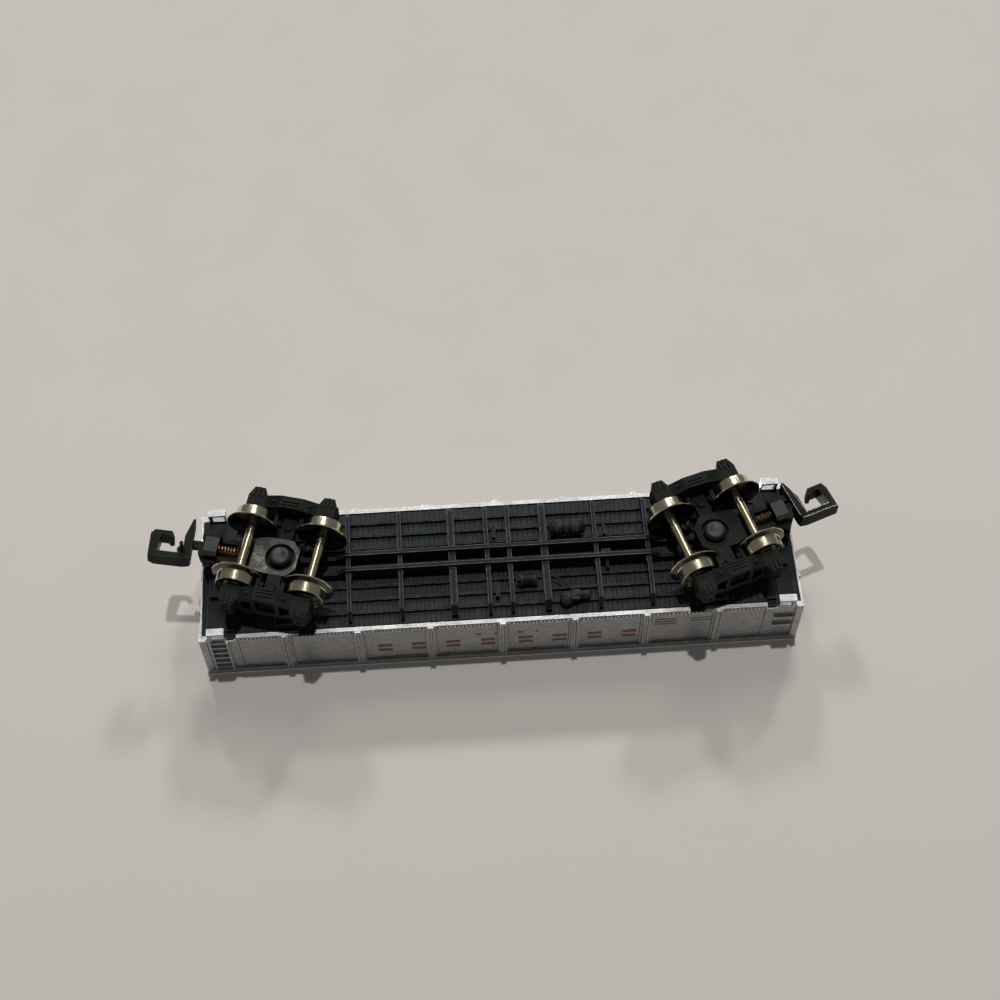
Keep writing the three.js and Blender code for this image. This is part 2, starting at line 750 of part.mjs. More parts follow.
// One hook moulding: a back plate, an arm on the -Y side, a front bar and a short hook that turns
// back from it. A peg hangs from the arm and rides over the uncoupling ramp.
function couplerHook() {
  const c = coupler;
  const half = c.height / 2;
  const backEnd = c.back + c.backThickness;
  const armInner = -c.armOuter + c.arm;
  const frontInner = c.front - c.frontThickness;
  const hookInner = c.hookY - c.hookThickness;
  const plan = [
    [backEnd, -c.armOuter], [c.front, -c.armOuter], [c.front, hookInner],
    [c.front - 0.55, c.hookY], [c.hookReach + 0.4, c.hookY], [c.hookReach, hookInner - 0.2],
    [c.hookReach + 0.5, hookInner - 0.4], [c.hookReach + 0.9, hookInner], [frontInner - 0.3, hookInner],
    [frontInner, armInner], [backEnd, armInner], [backEnd, c.backFlat],
    [c.back + c.backTip, c.backReach], [c.back, c.backReach],
    [c.back, -c.armOuter + 0.6], [c.back + 0.2, -c.armOuter + 0.2],
  ];
  const head = slab(plan, -half, half);
  const bevel = wall([
    [c.front + 0.1, half + 0.1], [c.front + 0.1, half - c.bevel], [c.front - c.bevel, half + 0.1],
  ], -c.armOuter - 1, c.hookY + 1);
  const peg = disc(c.pegX, c.pegY, c.pegRadius, -half - c.pegLength, -half + 0.5, 14);
  const pegFoot = disc(c.pegX, c.pegY, c.pegRadius + 0.35, -half, -half + 0.5, 14);
  const shank = block([c.tail + 0.2, c.back + 0.2], [-c.shank, c.shank], [-c.shank, c.shank]);
  const tail = block(
    [c.tail, c.tail + c.tailDepth],
    [-c.tailHalfWidth, c.tailHalfWidth],
    [-c.tailHalfHeight, c.tailHalfHeight],
  );
  const relief = block([c.tail - 1, c.tail + 1.0], [-2, 2], [c.tailHalfHeight, 2]);
  const reliefBelow = block([c.tail - 1, c.tail + 1.0], [-2, 2], [-2, -c.tailHalfHeight]);
  return cutBy(joined([head, peg, pegFoot, shank, tail]), [bevel, relief, reliefBelow]);
}

class Helix extends THREE.Curve {
  constructor(to) {
    super();
    this.to = to;
  }

  getPoint(t, target = new THREE.Vector3()) {
    const angle = t * spring.turns * 2 * Math.PI;
    const x = spring.from + (this.to - spring.from) * t;
    return target.set(x, spring.radius * Math.cos(angle), spring.radius * Math.sin(angle));
  }
}

function couplerSpring(drawnOut) {
  const section = outline(Array.from({ length: spring.sides }, (_, i) => {
    const angle = (i / spring.sides) * 2 * Math.PI;
    return [spring.wire * Math.cos(angle), spring.wire * Math.sin(angle)];
  }));
  const steps = spring.turns * spring.stepsPerTurn;
  const extrudePath = new Helix(spring.to + drawnOut);
  return solid(new THREE.ExtrudeGeometry(section, { extrudePath, steps, bevelEnabled: false }));
}

// ---------------------------------------------------------------- assembly

function placed(parent, x, z) {
  const group = new THREE.Group();
  group.position.set(x, 0, z);
  parent.add(group);
  return group;
}

function addWheelset(truckGroup, x, label) {
  const group = placed(truckGroup, x, axle.z);
  group.add(meshOf(`axle_${label}`, axleSolid(), platedMetal()));
  group.add(meshOf(`wheel_${label}_plain`, wheelSolid(-1, axle.radius + FIT_GAP), platedMetal()));
  group.add(meshOf(`wheel_${label}_insulated`, wheelSolid(1, bush.radius + FIT_GAP), platedMetal()));
  group.add(meshOf(`wheel_bush_${label}`, bushSolid(), insulator()));
}

function addCoupler(truckGroup, label, hang) {
  const group = placed(truckGroup, coupler.pivotX + hang.drawnOut, coupler.pivotZ);
  group.rotation.order = 'ZYX';
  group.rotation.z = hang.yaw * DEGREE;
  group.rotation.y = hang.droop * DEGREE;
  group.rotation.x = hang.overturned ? Math.PI : 0;
  group.add(meshOf(`coupler_${label}`, couplerHook(), blackPlastic()));
}

function addTruck(car, label, x, turn, hang) {
  const group = placed(car, x, 0);
  group.rotation.z = turn * DEGREE;
  group.add(meshOf(`truck_frame_${label}`, truckFrame(), blackPlastic()));
  group.add(meshOf(`coupler_cover_${label}`, pocketCover(), greyPlastic()));
  const springGroup = placed(group, 0, coupler.pivotZ);
  springGroup.add(meshOf(`coupler_spring_${label}`, couplerSpring(hang.drawnOut), copperWire()));
  addWheelset(group, truck.halfWheelbase, `${label}_outer`);
  addWheelset(group, -truck.halfWheelbase, `${label}_inner`);
  addCoupler(group, label, hang);
}

const car = new THREE.Group();
car.add(meshOf('body_shell', bodyShell(), silverPaint()));
car.add(meshOf('ballast_weight', ballastWeight(), bareSteel()));
car.add(meshOf('underframe', underframe(), blackPlastic()));
car.add(meshOf('air_reservoir', airReservoir(), blackPlastic()));
car.add(meshOf('brake_cylinder', brakeCylinder(), blackPlastic()));
car.add(meshOf('control_valve', controlValve(), blackPlastic()));
car.add(meshOf('brake_pipe', brakePipe(), blackPlastic()));
for (const [label, end] of [['a', 1], ['b', -1]]) {
  const pinGroup = placed(car, end * truck.centre, 0);
  pinGroup.add(meshOf(`truck_pin_${label}`, truckPin(), greyPlastic()));
}
addTruck(car, 'a', truck.centre, truck.swivelA, {
  yaw: coupler.yawA, droop: coupler.droopA, drawnOut: coupler.drawnOutA, overturned: false,
});
addTruck(car, 'b', -truck.centre, 180 + truck.swivelB, {
  yaw: coupler.yawB, droop: coupler.droopB, drawnOut: coupler.drawnOutB, overturned: true,
});

export default car;
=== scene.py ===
"""Looks of the model freight car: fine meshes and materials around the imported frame."""
import json
import math
import random

import bmesh
import bpy
from mathutils import Matrix, Vector


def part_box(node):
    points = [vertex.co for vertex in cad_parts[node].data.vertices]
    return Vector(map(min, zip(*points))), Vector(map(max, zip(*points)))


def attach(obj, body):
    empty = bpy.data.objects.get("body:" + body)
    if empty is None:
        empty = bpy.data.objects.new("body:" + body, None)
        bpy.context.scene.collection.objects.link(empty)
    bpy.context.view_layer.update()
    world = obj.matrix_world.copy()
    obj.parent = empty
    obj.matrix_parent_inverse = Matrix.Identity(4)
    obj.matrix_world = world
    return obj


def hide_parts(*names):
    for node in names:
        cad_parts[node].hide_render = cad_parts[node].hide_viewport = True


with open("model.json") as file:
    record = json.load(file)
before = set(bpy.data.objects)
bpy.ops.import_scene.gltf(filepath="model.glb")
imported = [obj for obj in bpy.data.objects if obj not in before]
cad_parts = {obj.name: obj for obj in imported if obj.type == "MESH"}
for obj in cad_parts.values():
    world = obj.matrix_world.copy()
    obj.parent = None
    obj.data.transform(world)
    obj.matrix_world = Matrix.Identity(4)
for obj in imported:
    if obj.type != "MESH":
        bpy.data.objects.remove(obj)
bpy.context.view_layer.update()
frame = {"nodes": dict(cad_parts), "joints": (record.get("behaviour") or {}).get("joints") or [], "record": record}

MM = 0.001
UP = Vector((0, 0, 1))

# ---------------------------------------------------------------- what the frame says

JOINTS = {joint["name"]: joint for joint in frame["joints"]}
MOUNTS = {mount["name"]: mount for mount in frame["record"]["mounts"]}
NODES = frame["nodes"]


def joint_at(name):
    return Vector(JOINTS[name]["pos_m"])


def joint_axis(name):
    return Vector(JOINTS[name]["axis"]).normalized()


def axes_matrix(origin, x_axis, y_axis):
    """A placement whose local X and Y lie along these directions."""
    x = Vector(x_axis).normalized()
    z = x.cross(Vector(y_axis)).normalized()
    y = z.cross(x)
    placement = Matrix((x, y, z)).transposed().to_4x4()
    placement.translation = origin
    return placement


def truck_matrix(label):
    """The truck's own frame: X outwards along the truck, z = 0 where the flanges stand."""
    inner = joint_at(f"wheelset_{label}_inner_spin")
    outer = joint_at(f"wheelset_{label}_outer_spin")
    along = outer - inner
    centre = (inner + outer) / 2
    centre.z = 0
    return axes_matrix(centre, along, UP.cross(along))


def coupler_matrix(label):
    """The coupler's own frame: X outwards along its shank, Y away from the side of its arm."""
    outwards = Vector(MOUNTS[f"coupler_{label}_face"]["axis"])
    sideways = -joint_axis(f"coupler_{label}_lift")
    if label == "b":
        sideways = -sideways
    return axes_matrix(joint_at(f"coupler_{label}_lift"), outwards, sideways)


# ---------------------------------------------------------------- camera

CAMERA = {
    "elevation": -59.73,
    "yaw": 3.08,
    "roll": 0.68,
    "distance": 0.24836,
    "aim": (-0.0006, 0.0053, 0.0009),
    "lens": 64.8,
    "sensor": 36.0,
}


def make_camera():
    """The camera looks up at the underside, with the car's right way up pointing away from it."""
    elevation = math.radians(CAMERA["elevation"])
    yaw = math.radians(CAMERA["yaw"])
    roll = math.radians(CAMERA["roll"])
    forward = Vector((
        -math.sin(yaw) * math.cos(elevation),
        math.cos(yaw) * math.cos(elevation),
        -math.sin(elevation),
    ))
    level_up = (forward * forward.z - UP).normalized()
    level_right = forward.cross(level_up)
    up = level_up * math.cos(roll) + level_right * math.sin(roll)
    right = forward.cross(up)
    turn = Matrix((right, up, -forward)).transposed().to_4x4()
    turn.translation = Vector(CAMERA["aim"]) - forward * CAMERA["distance"]
    data = bpy.data.cameras.new("camera")
    data.lens = CAMERA["lens"]
    data.sensor_width = CAMERA["sensor"]
    data.clip_start = 0.01
    data.clip_end = 10
    camera = bpy.data.objects.new("camera", data)
    camera.matrix_world = turn
    bpy.context.scene.collection.objects.link(camera)
    bpy.context.scene.camera = camera


make_camera()

# ---------------------------------------------------------------- material helpers


class Nodes:
    """A small helper that adds and links shader nodes."""

    def __init__(self, name):
        self.material = bpy.data.materials.new(name)
        self.material.use_nodes = True
        self.tree = self.material.node_tree
        self.tree.nodes.clear()
        self.output = self.tree.nodes.new("ShaderNodeOutputMaterial")
        self.shader = self.tree.nodes.new("ShaderNodeBsdfPrincipled")
        self.link(self.shader.outputs[0], self.output.inputs["Surface"])
        self.where = self.tree.nodes.new("ShaderNodeTexCoord").outputs["Object"]

    def link(self, a, b):
        self.tree.links.new(a, b)

    def put(self, socket, value):
        if isinstance(value, bpy.types.NodeSocket):
            self.link(value, socket)
        else:
            socket.default_value = value

    def noise(self, scale, detail=4.0, roughness=0.55, stretch=None):
        node = self.tree.nodes.new("ShaderNodeTexNoise")
        node.inputs["Scale"].default_value = scale
        node.inputs["Detail"].default_value = detail
        node.inputs["Roughness"].default_value = roughness
        where = self.where
        if stretch:
            mapping = self.tree.nodes.new("ShaderNodeMapping")
            mapping.inputs["Scale"].default_value = stretch
            self.link(self.where, mapping.inputs["Vector"])
            where = mapping.outputs[0]
        self.link(where, node.inputs["Vector"])
        return node.outputs["Fac"]

    def ramp(self, value, low, high, from_value=0.0, to_value=1.0):
        node = self.tree.nodes.new("ShaderNodeMapRange")
        node.inputs["From Min"].default_value = low
        node.inputs["From Max"].default_value = high
        node.inputs["To Min"].default_value = from_value
        node.inputs["To Max"].default_value = to_value
        self.link(value, node.inputs["Value"])
        return node.outputs[0]

    def mix(self, fac, a, b):
        node = self.tree.nodes.new("ShaderNodeMix")
        node.data_type = "RGBA"
        sockets = {s.identifier: s for s in node.inputs}
        self.put(sockets["Factor_Float"], fac)
        self.put(sockets["A_Color"], a)
        self.put(sockets["B_Color"], b)
        return {s.identifier: s for s in node.outputs}["Result_Color"]

    def math(self, operation, a, b):
        node = self.tree.nodes.new("ShaderNodeMath")
        node.operation = operation
        self.put(node.inputs[0], a)
        self.put(node.inputs[1], b)
        return node.outputs[0]

    def bump(self, height, strength, distance):
        node = self.tree.nodes.new("ShaderNodeBump")
        node.inputs["Strength"].default_value = strength
        node.inputs["Distance"].default_value = distance
        self.link(height, node.inputs["Height"])
        self.link(node.outputs[0], self.shader.inputs["Normal"])

    def edge_wear(self, radius):
        """1 along outer and inner edges within this radius, 0 on flat faces."""
        bevel = self.tree.nodes.new("ShaderNodeBevel")
        bevel.samples = 4
        bevel.inputs["Radius"].default_value = radius
        geometry = self.tree.nodes.new("ShaderNodeNewGeometry")
        dot = self.tree.nodes.new("ShaderNodeVectorMath")
        dot.operation = "DOT_PRODUCT"
        self.link(bevel.outputs[0], dot.inputs[0])
        self.link(geometry.outputs["True Normal"], dot.inputs[1])
        return self.ramp(dot.outputs["Value"], 0.995, 0.90)


def rgb(red, green, blue):
    return (red, green, blue, 1.0)


def silver_paint():
    """Thin silver paint over plastic: a fine sparkle, dirt in the pores and bright worn edges."""
    n = Nodes("silver_paint")
    brushed = n.noise(1900, 4.0, 0.65, (0.35, 1.0, 1.0))
    mottle = n.noise(140, 5.0, 0.6)
    pores = n.noise(3300, 4.0, 0.8)
    grime = n.math("MULTIPLY", n.noise(300, 6.0, 0.7), n.noise(2200, 3.0, 0.6))
    grime = n.ramp(grime, 0.26, 0.40)
    worn = n.math("MULTIPLY", n.edge_wear(0.00012), n.ramp(n.noise(1700, 4.0, 0.7), 0.40, 0.55))
    colour = n.mix(n.ramp(brushed, 0.35, 0.65), rgb(0.33, 0.33, 0.335), rgb(0.47, 0.47, 0.475))
    colour = n.mix(n.math("MULTIPLY", grime, 0.35), colour, rgb(0.16, 0.158, 0.156))
    colour = n.mix(n.math("MULTIPLY", n.ramp(pores, 0.55, 0.66), 0.60), colour, rgb(0.085, 0.085, 0.085))
    colour = n.mix(n.math("MULTIPLY", worn, 0.75), colour, rgb(0.92, 0.92, 0.93))
    n.put(n.shader.inputs["Base Color"], colour)
    n.shader.inputs["Metallic"].default_value = 0.80
    n.put(n.shader.inputs["Roughness"], n.ramp(mottle, 0.3, 0.7, 0.30, 0.44))
    n.bump(n.math("ADD", pores, n.math("MULTIPLY", brushed, 0.6)), 0.55, 0.00006)
    return n.material


def dark_plastic(name, dark, light, roughness, grain, dust, wear_and_highlight_amount, shine=0.25):
    """Dark moulded plastic: dusty patches and paler edges, partly wear and partly a painted highlight where the
    edges catch the light.
    """
    n = Nodes(name)
    n.shader.inputs["Specular IOR Level"].default_value = shine
    speckle = n.noise(4200, 4.0, 0.75)
    patches = n.ramp(n.noise(300, 6.0, 0.65), 0.45, 0.68)
    dirt = n.math("MULTIPLY", patches, n.ramp(speckle, 0.40, 0.62))
    colour = n.mix(n.math("MULTIPLY", dirt, dust), dark, light)
    # Paler edges: partly wear, partly a painted highlight.
    wear_and_highlight = n.math("MULTIPLY", n.edge_wear(0.00014), n.ramp(n.noise(1500, 4.0, 0.65), 0.38, 0.60))
    colour = n.mix(n.math("MULTIPLY", wear_and_highlight, wear_and_highlight_amount), colour, light)
    n.put(n.shader.inputs["Base Color"], colour)
    n.put(n.shader.inputs["Roughness"], n.ramp(speckle, 0.3, 0.7, roughness - 0.08, roughness + 0.12))
    n.bump(n.math("ADD", speckle, n.math("MULTIPLY", n.noise(1300, 3.0, 0.5), 0.7)), grain, 0.00006)
    return n.material


def turned_metal(name, bright, dull, roughness, face=None):
    """Turned metal with fine rings round the axle; a wheel's flat faces carry a painted dark reflection, darker
    than its tread.
    """
    n = Nodes(name)
    tarnish = n.ramp(n.noise(420, 6.0, 0.7), 0.46, 0.72)
    rings = n.noise(6000, 3.0, 0.6, (0.02, 1.0, 0.02))
    fine = n.noise(5200, 3.0, 0.6)
    colour = n.mix(n.math("MULTIPLY", tarnish, 0.45), bright, dull)
    # Painted reflection: faces across the axle are painted dark, standing for the dark parts they reflect.
    if face is not None:
        coordinates = n.tree.nodes.new("ShaderNodeTexCoord")
        split = n.tree.nodes.new("ShaderNodeSeparateXYZ")
        n.link(coordinates.outputs["Normal"], split.inputs[0])
        dark_reflection_on_face = n.ramp(n.math("ABSOLUTE", split.outputs["Y"], 0), 0.55, 0.85)
        colour = n.mix(dark_reflection_on_face, colour, face)
    n.put(n.shader.inputs["Base Color"], colour)
    n.shader.inputs["Metallic"].default_value = 1.0
    n.put(n.shader.inputs["Roughness"], n.ramp(fine, 0.3, 0.7, roughness - 0.04, roughness + 0.10))
    n.bump(n.math("ADD", rings, n.math("MULTIPLY", fine, 0.12)), 0.18, 0.00001)
    return n.material


def mark_paint(name, deep, thin):
    """Printed paint that is thin in patches."""
    n = Nodes(name)
    patchy = n.ramp(n.noise(3600, 5.0, 0.7), 0.36, 0.60)
    n.put(n.shader.inputs["Base Color"], n.mix(patchy, deep, thin))
    n.shader.inputs["Roughness"].default_value = 0.5
    n.bump(n.noise(4200, 3.0, 0.6), 0.2, 0.00002)
    return n.material


SILVER = silver_paint()
# The underframe black's strong pale edges are partly wear and partly a painted highlight.
BLACK = dark_plastic(
    "underframe_black", rgb(0.0085, 0.0110, 0.0130), rgb(0.150, 0.168, 0.180),
    roughness=0.46, grain=0.30, dust=0.13, wear_and_highlight_amount=0.95, shine=0.12,
)
BOARD = dark_plastic(
    "floor_board_black", rgb(0.022, 0.027, 0.0300), rgb(0.075, 0.086, 0.092),
    roughness=0.50, grain=0.45, dust=0.40, wear_and_highlight_amount=0.50, shine=0.14,
)
TRUCK = dark_plastic(
    "truck_black", rgb(0.0055, 0.0070, 0.0062), rgb(0.085, 0.097, 0.075),
    roughness=0.44, grain=0.55, dust=0.20, wear_and_highlight_amount=0.40, shine=0.09,
)
# Partly dust, partly painted glints: the pale speckles stand for the lamp's sparkle on the centre plate.
PLATE_DUST_AND_GLINTS = dark_plastic(
    "plate_dust_and_painted_glints", rgb(0.024, 0.028, 0.021), rgb(0.75, 0.76, 0.64),
    roughness=0.34, grain=1.0, dust=1.0, wear_and_highlight_amount=0.30, shine=0.40,
)
COUPLER = dark_plastic(
    "coupler_black", rgb(0.010, 0.0125, 0.0105), rgb(0.105, 0.116, 0.096),
    roughness=0.52, grain=0.40, dust=0.25, wear_and_highlight_amount=0.80, shine=0.08,
)
GREY = dark_plastic(
    "pin_grey", rgb(0.016, 0.020, 0.018), rgb(0.080, 0.090, 0.080),
    roughness=0.38, grain=0.30, dust=0.40, wear_and_highlight_amount=0.75, shine=0.30,
)
# Painted highlight: a pale, glossy colour whose specks stand for glints on the flash.
FLASH_WITH_GLINTS = dark_plastic(
    "moulding_flash_painted_glints", rgb(0.10, 0.105, 0.10), rgb(0.95, 0.96, 0.92),
    roughness=0.22, grain=1.0, dust=1.0, wear_and_highlight_amount=1.0, shine=0.9,
)
# Painted highlight: a pale plastic for beads that stand for lit edges.
EDGE_HIGHLIGHT_BLACK = dark_plastic(
    "painted_highlight_black", rgb(0.022, 0.026, 0.029), rgb(0.20, 0.22, 0.235),
    roughness=0.40, grain=0.8, dust=0.75, wear_and_highlight_amount=0.6, shine=0.25,
)
# Painted shade: a dark plastic for the strips that stand for the shadows on the sides.
PAINTED_SHADE = dark_plastic(
    "painted_panel_shade", rgb(0.045, 0.045, 0.044), rgb(0.13, 0.13, 0.128),
    roughness=0.60, grain=0.3, dust=0.8, wear_and_highlight_amount=0.2, shine=0.15,
)
# The face colour is a painted dark reflection on the wheels' flat faces.
WHEEL = turned_metal(
    "wheel_metal", rgb(0.78, 0.70, 0.49), rgb(0.40, 0.34, 0.22),
    roughness=0.17, face=rgb(0.10, 0.095, 0.085),
)
AXLE = turned_metal("axle_metal", rgb(0.80, 0.70, 0.47), rgb(0.40, 0.31, 0.17), roughness=0.17)
STEEL = turned_metal("ballast_steel", rgb(0.42, 0.42, 0.43), rgb(0.25, 0.22, 0.20), roughness=0.35)
COPPER = turned_metal("spring_copper", rgb(0.95, 0.47, 0.20), rgb(0.60, 0.22, 0.08), roughness=0.24)
# Painted shade: a darker copy of the spring copper for the second coupler's spring.
COPPER_SHADED = turned_metal("spring_copper_shaded", rgb(0.24, 0.13, 0.08), rgb(0.12, 0.06, 0.04), roughness=0.32)
INSULATOR = dark_plastic(
    "insulator", rgb(0.012, 0.012, 0.012), rgb(0.05, 0.05, 0.05),
    roughness=0.4, grain=0.15, dust=0.3, wear_and_highlight_amount=0.4,
)
RED = mark_paint("red_mark_paint", rgb(0.17, 0.020, 0.024), rgb(0.24, 0.065, 0.065))
DARK_MARK = mark_paint("dark_mark_paint", rgb(0.06, 0.06, 0.065), rgb(0.14, 0.14, 0.145))

SLOT_MATERIAL = {
    "silver_paint": SILVER,
    "black_plastic": BLACK,
    "truck_plastic": TRUCK,
    "coupler_plastic": COUPLER,
    "grey_plastic": GREY,
    "wheel_metal": WHEEL,
    "axle_metal": AXLE,
    "ballast_steel": STEEL,
    "spring_wire": COPPER,
    "insulator_plastic": INSULATOR,
}


def dress_cad_nodes():
    for part in frame["record"]["subparts"]:
        node = NODES[part["node"]]
        node.data.materials.clear()
        node.data.materials.append(SLOT_MATERIAL[part["material_slot"]])


dress_cad_nodes()

# ---------------------------------------------------------------- mesh helpers, all in millimetres


def new_piece(name, mesh_maker, material, slot, body, placement=None, smooth_angle=None):
    """Makes one piece from a bmesh in millimetres and lets it ride on a body."""
    mesh = bpy.data.meshes.new(name)
    shape = bmesh.new()
    mesh_maker(shape)
    bmesh.ops.scale(shape, vec=(MM, MM, MM), verts=shape.verts)
    bmesh.ops.recalc_face_normals(shape, faces=shape.faces)
    shape.to_mesh(mesh)
    shape.free()
    mesh.materials.append(material)
    piece = bpy.data.objects.new(name, mesh)
    if placement is not None:
        piece.matrix_world = placement
    bpy.context.scene.collection.objects.link(piece)
    if smooth_angle is not None:
        for face in mesh.polygons:
            face.use_smooth = True
        sharpen(mesh, smooth_angle)
    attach(piece, body)
    return piece


def sharpen(mesh, angle):
    """Marks the edges that stay crisp on a smooth-shaded mesh."""
    shape = bmesh.new()
    shape.from_mesh(mesh)
    limit = math.radians(angle)
    for edge in shape.edges:
        edge.smooth = len(edge.link_faces) == 2 and edge.calc_face_angle() < limit
    shape.to_mesh(mesh)
    shape.free()


def lathe(shape, profile, segments, offset=(0, 0, 0), axis="Y"):
    """A closed solid of revolution from a closed profile of (radius, along)."""
    rings = []
    for radius, along in profile:
        if radius < 1e-6:
            rings.append([shape.verts.new(turned_point(0, along, 0, offset, axis))])
        else:
            rings.append([
                shape.verts.new(turned_point(radius, along, 2 * math.pi * k / segments, offset, axis))
                for k in range(segments)
            ])
    for i, ring in enumerate(rings):
        following = rings[(i + 1) % len(rings)]
        if len(ring) == 1 and len(following) == 1:
            continue
        for k in range(segments):
            n = (k + 1) % segments
            corners = [ring[k % len(ring)], ring[n % len(ring)]]
            corners += [following[n % len(following)], following[k % len(following)]]
            unique = list(dict.fromkeys(corners))
            if len(unique) > 2:
                shape.faces.new(unique)


def turned_point(radius, along, angle, offset, axis):
    a, b = radius * math.cos(angle), radius * math.sin(angle)
    point = {"X": (along, a, b), "Y": (a, along, b), "Z": (a, b, along)}[axis]
    return Vector(point) + Vector(offset)


def box(shape, x, y, z):
    verts = [shape.verts.new((i, j, k)) for k in z for j in y for i in x]
    for quad in ((0, 1, 3, 2), (4, 6, 7, 5), (0, 4, 5, 1), (2, 3, 7, 6), (0, 2, 6, 4), (1, 5, 7, 3)):
        shape.faces.new([verts[i] for i in quad])
    return verts


def prism(shape, outline, low, high, plane="XY"):
    """An outline raised from low to high, across the plane it is drawn in."""
    def at(a, b, c):
        return {"XY": (a, b, c), "XZ": (a, c, b), "YZ": (c, a, b)}[plane]
    bottom = [shape.verts.new(at(a, b, low)) for a, b in outline]
    top = [shape.verts.new(at(a, b, high)) for a, b in outline]
    shape.faces.new(bottom)
    shape.faces.new(list(reversed(top)))
    count = len(outline)
    for i in range(count):
        j = (i + 1) % count
        shape.faces.new((bottom[i], top[i], top[j], bottom[j]))


def tube(shape, points, radius, sides=8):
    """A round bar along a path of points, closed at both ends."""
    path = [Vector(p) for p in points]
    rings = []
    side = None
    for i, point in enumerate(path):
        ahead = (path[min(i + 1, len(path) - 1)] - path[max(i - 1, 0)]).normalized()
        if side is None:
            side = ahead.orthogonal().normalized()
        side = (side - ahead * side.dot(ahead)).normalized()
        other = ahead.cross(side)
        rings.append([
            shape.verts.new(point + radius * (side * math.cos(t) + other * math.sin(t)))
            for t in (2 * math.pi * k / sides for k in range(sides))
        ])
    for first, second in zip(rings, rings[1:]):
        for k in range(sides):
            n = (k + 1) % sides
            shape.faces.new((first[k], first[n], second[n], second[k]))
    shape.faces.new(list(reversed(rings[0])))
    shape.faces.new(rings[-1])


def soften(piece, width, segments=2, angle=35):
    """A small rounding on every crisp edge."""
    modifier = piece.modifiers.new("rounding", "BEVEL")
    modifier.width = width * MM
    modifier.segments = segments
    modifier.limit_method = "ANGLE"
    modifier.angle_limit = math.radians(angle)
    modifier.harden_normals = False


# ---------------------------------------------------------------- wheelsets

WHEEL_MM = {
    "tread": 2.7, "flange": 3.6, "width": 2.1, "flange_width": 0.55, "back": 3.8,
    "axle": 0.68, "stub": 0.5, "tip": 7.45, "cone_from": 6.5,
}


def wheel_profile(side, bore):
    """Radius and place along the axle, with a filleted flange and a dished outer face."""
    w = WHEEL_MM
    back = w["back"]
    face = back + w["width"]
    flange_end = back + w["flange_width"]
    points = [
        (bore, back), (2.1, back), (2.2, back + 0.05), (w["flange"] - 0.14, back + 0.05),
        (w["flange"] - 0.04, back + 0.10), (w["flange"], back + 0.20), (w["flange"] - 0.06, back + 0.32),
        (3.25, flange_end - 0.14), (2.95, flange_end - 0.03), (w["tread"] + 0.08, flange_end + 0.03),
        (w["tread"], flange_end + 0.14), (w["tread"] - 0.02, face - 0.5), (w["tread"] - 0.05, face - 0.07),
        (w["tread"] - 0.12, face), (2.22, face), (2.16, face - 0.05), (2.08, face - 0.33),
        (1.95, face - 0.37), (1.5, face - 0.36), (1.38, face - 0.30), (1.32, face - 0.04), (1.26, face),
        (bore, face),
    ]
    return [(radius, side * along) for radius, along in points]


def axle_profile():
    w = WHEEL_MM
    shoulder = w["back"] + w["width"] + 0.2
    half = [
        (w["axle"], 3.2), (w["axle"], shoulder - 0.06), (w["axle"] - 0.06, shoulder), (w["stub"], shoulder),
        (w["stub"], w["cone_from"]), (0.12, w["tip"] - 0.03), (0.0, w["tip"]),
    ]
    other = [(radius, -along) for radius, along in reversed(half)]
    return other + half


def make_wheelset(label, which):
    body = f"wheelset_{label}_{which}"
    joint = f"{body}_spin"
    axis = joint_axis(joint)
    placement = axes_matrix(joint_at(joint), axis.cross(UP), axis)
    pieces = {
        f"axle_{label}_{which}": (axle_profile(), "axle_metal"),
        f"wheel_{label}_{which}_plain": (wheel_profile(-1, 0.71), "wheel_metal"),
        f"wheel_{label}_{which}_insulated": (wheel_profile(1, 1.18), "wheel_metal"),
    }
    for node, (profile, slot) in pieces.items():
        fine = new_piece(
            f"{node}_fine", lambda shape: lathe(shape, profile, 72),
            SLOT_MATERIAL[slot], slot, body, placement, smooth_angle=28,
        )
        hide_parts(node)


for truck_label in "ab":
    for wheelset_label in ("outer", "inner"):
        make_wheelset(truck_label, wheelset_label)

# ---------------------------------------------------------------- body, in millimetres

BODY_MM = {
    "wall": 9.45, "sill": 8.7, "rim": 19.1, "half_length": 41.5, "post_pitch": 10.0, "post_count": 7,
    "post_face": 9.9, "post_width": 0.8, "chord": 1.1,
}
TAB_MM = {
    "pitch": 0.54, "width": 0.30, "low": 9.12, "height": 0.42, "from": -36.6, "to": 36.9, "post_gap": 0.75,
}
PANEL_TOP = BODY_MM["rim"] - BODY_MM["chord"]
POST_RISE = (BODY_MM["sill"] + 0.35, PANEL_TOP)
TAB_FACE = BODY_MM["wall"] + 0.1
BEHIND_WALL = -9.4
FLOOR_MM = {
    "plate": 8.95, "reach": 36.6, "stringers": (1.2, 3.0, 5.0, 7.0), "sill_half": 0.28, "stringer_half": 0.18,
    "edge": 8.85, "pitch": 0.72, "gap": 0.17, "drop": 0.17,
}
HALF_TURN = Matrix.Rotation(math.pi, 4, "Z")


def both_sides(maker):
    """The same work on the -Y side and, turned half a turn, on the +Y side."""
    def make(shape):
        maker(shape)
        copied = bmesh.ops.duplicate(shape, geom=shape.verts[:] + shape.edges[:] + shape.faces[:])
        verts = [item for item in copied["geom"] if isinstance(item, bmesh.types.BMVert)]
        bmesh.ops.transform(shape, matrix=HALF_TURN, verts=verts)
    return make


def posts_x():
    middle = (BODY_MM["post_count"] - 1) / 2
    return [(i - middle) * BODY_MM["post_pitch"] for i in range(BODY_MM["post_count"])]


def tab_row(start):
    """Places one tab pitch apart along the side, missed out at each post."""
    x = start
    while x < TAB_MM["to"]:
        if all(abs(x - post) > TAB_MM["post_gap"] for post in posts_x()):
            yield x
        x += TAB_MM["pitch"]


